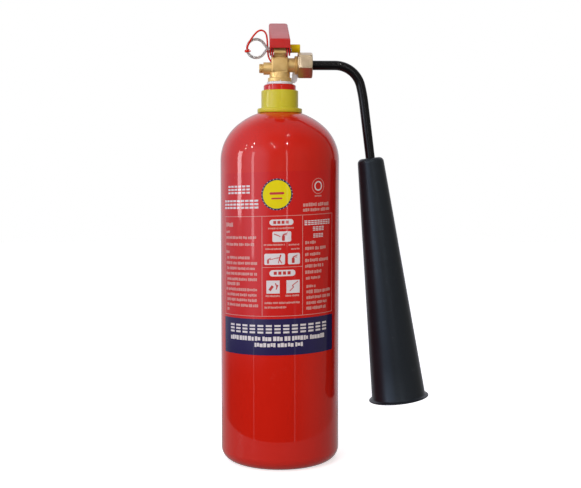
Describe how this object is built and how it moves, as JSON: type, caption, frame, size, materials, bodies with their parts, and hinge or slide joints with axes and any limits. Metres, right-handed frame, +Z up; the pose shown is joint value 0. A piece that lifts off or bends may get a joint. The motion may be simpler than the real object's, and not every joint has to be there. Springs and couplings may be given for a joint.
{
  "type": "fire extinguisher",
  "caption": "Tall red gas cylinder with a domed shoulder, brass squeeze valve with sealed safety pin, side relief cap, bent swivel tube and long black discharge horn.",
  "frame": {"origin": "centre of the cylinder's foot ring, on the floor", "axes": "+Z up along the cylinder, +X towards the horn, -Y towards the label, +Y towards the grips"},
  "size_m": [0.2362, 0.1566, 0.5035],
  "materials": {
    "red_paint": "gloss",
    "label_film": "gloss",
    "collar_plastic": "satin translucent",
    "tape_white": "matte",
    "valve_brass": "forged and machined",
    "nut_brass": "dull machined",
    "stainless_steel": "turned",
    "spring_steel": "drawn wire",
    "seal_rubber": "matte",
    "nylon": "matte",
    "tube_aluminium": "drawn",
    "grip_paint": "gloss",
    "zinc_steel": "zinc plated",
    "pull_wire": "bright wire",
    "cap_yellow": "satin",
    "thread_red": "satin",
    "tube_black": "gloss",
    "horn_plastic": "satin moulded"
  },
  "bodies": {
    "root": {"cylinder_shell": "red_paint", "label": "label_film", "neck_collar": "collar_plastic", "thread_tape": "tape_white", "valve_body": "valve_brass", "gland_nut": "nut_brass", "stem_oring": "seal_rubber", "spring_retainer": "valve_brass", "dip_tube": "tube_aluminium", "valve_spring": "spring_steel", "relief_cap": "valve_brass", "burst_disc": "stainless_steel", "relief_gasket": "nylon", "outlet_gasket": "nylon", "union_nut": "nut_brass", "carry_handle": "grip_paint", "handle_rivet": "zinc_steel", "pivot_pin": "zinc_steel", "pivot_clip": "spring_steel"},
    "lever": {"squeeze_lever": "grip_paint"},
    "stem": {"push_rod": "stainless_steel", "poppet": "valve_brass", "poppet_seal": "nylon"},
    "pull_pin": {"safety_pin": "pull_wire", "seal_thread": "thread_red", "ring_knot": "thread_red", "tail_knot": "thread_red"},
    "end_cap": {"pin_cap": "cap_yellow"},
    "horn": {"tube_ferrule": "nut_brass", "discharge_tube": "tube_black", "horn_shell": "horn_plastic", "horn_washer": "zinc_steel", "horn_locknut": "zinc_steel", "nozzle_tip": "valve_brass"}
  },
  "joints": [
    {"name": "lever_squeeze", "type": "hinge", "parent": "root", "child": "lever", "pos_m": [0, -0.0128, 0.4586], "axis": [-1, 0, 0], "range_deg": [0, 12], "stiffness_Nm_per_rad": 0.5, "springref_deg": -22.92},
    {"name": "stem_push", "type": "slide", "parent": "root", "child": "stem", "axis": [0, 0, -1], "range_m": [0, 0.0033], "deforming": ["valve_spring"]},
    {"name": "safety_pin_pull", "type": "slide", "parent": "root", "child": "pull_pin", "axis": [-1, 0, 0], "range_m": [0, 0.042]},
    {"name": "pin_cap_pull", "type": "slide", "parent": "root", "child": "end_cap", "axis": [1, 0, 0], "range_m": [0, 0.016]},
    {"name": "horn_swing", "type": "hinge", "parent": "root", "child": "horn", "pos_m": [0.03, 0, 0.4437], "axis": [-1, 0, 0], "range_deg": [-100, 100]}
  ],
  "couplings": [
    {"joint": "stem_push", "follows": "lever_squeeze", "m_per_rad": 0.015756}
  ]
}
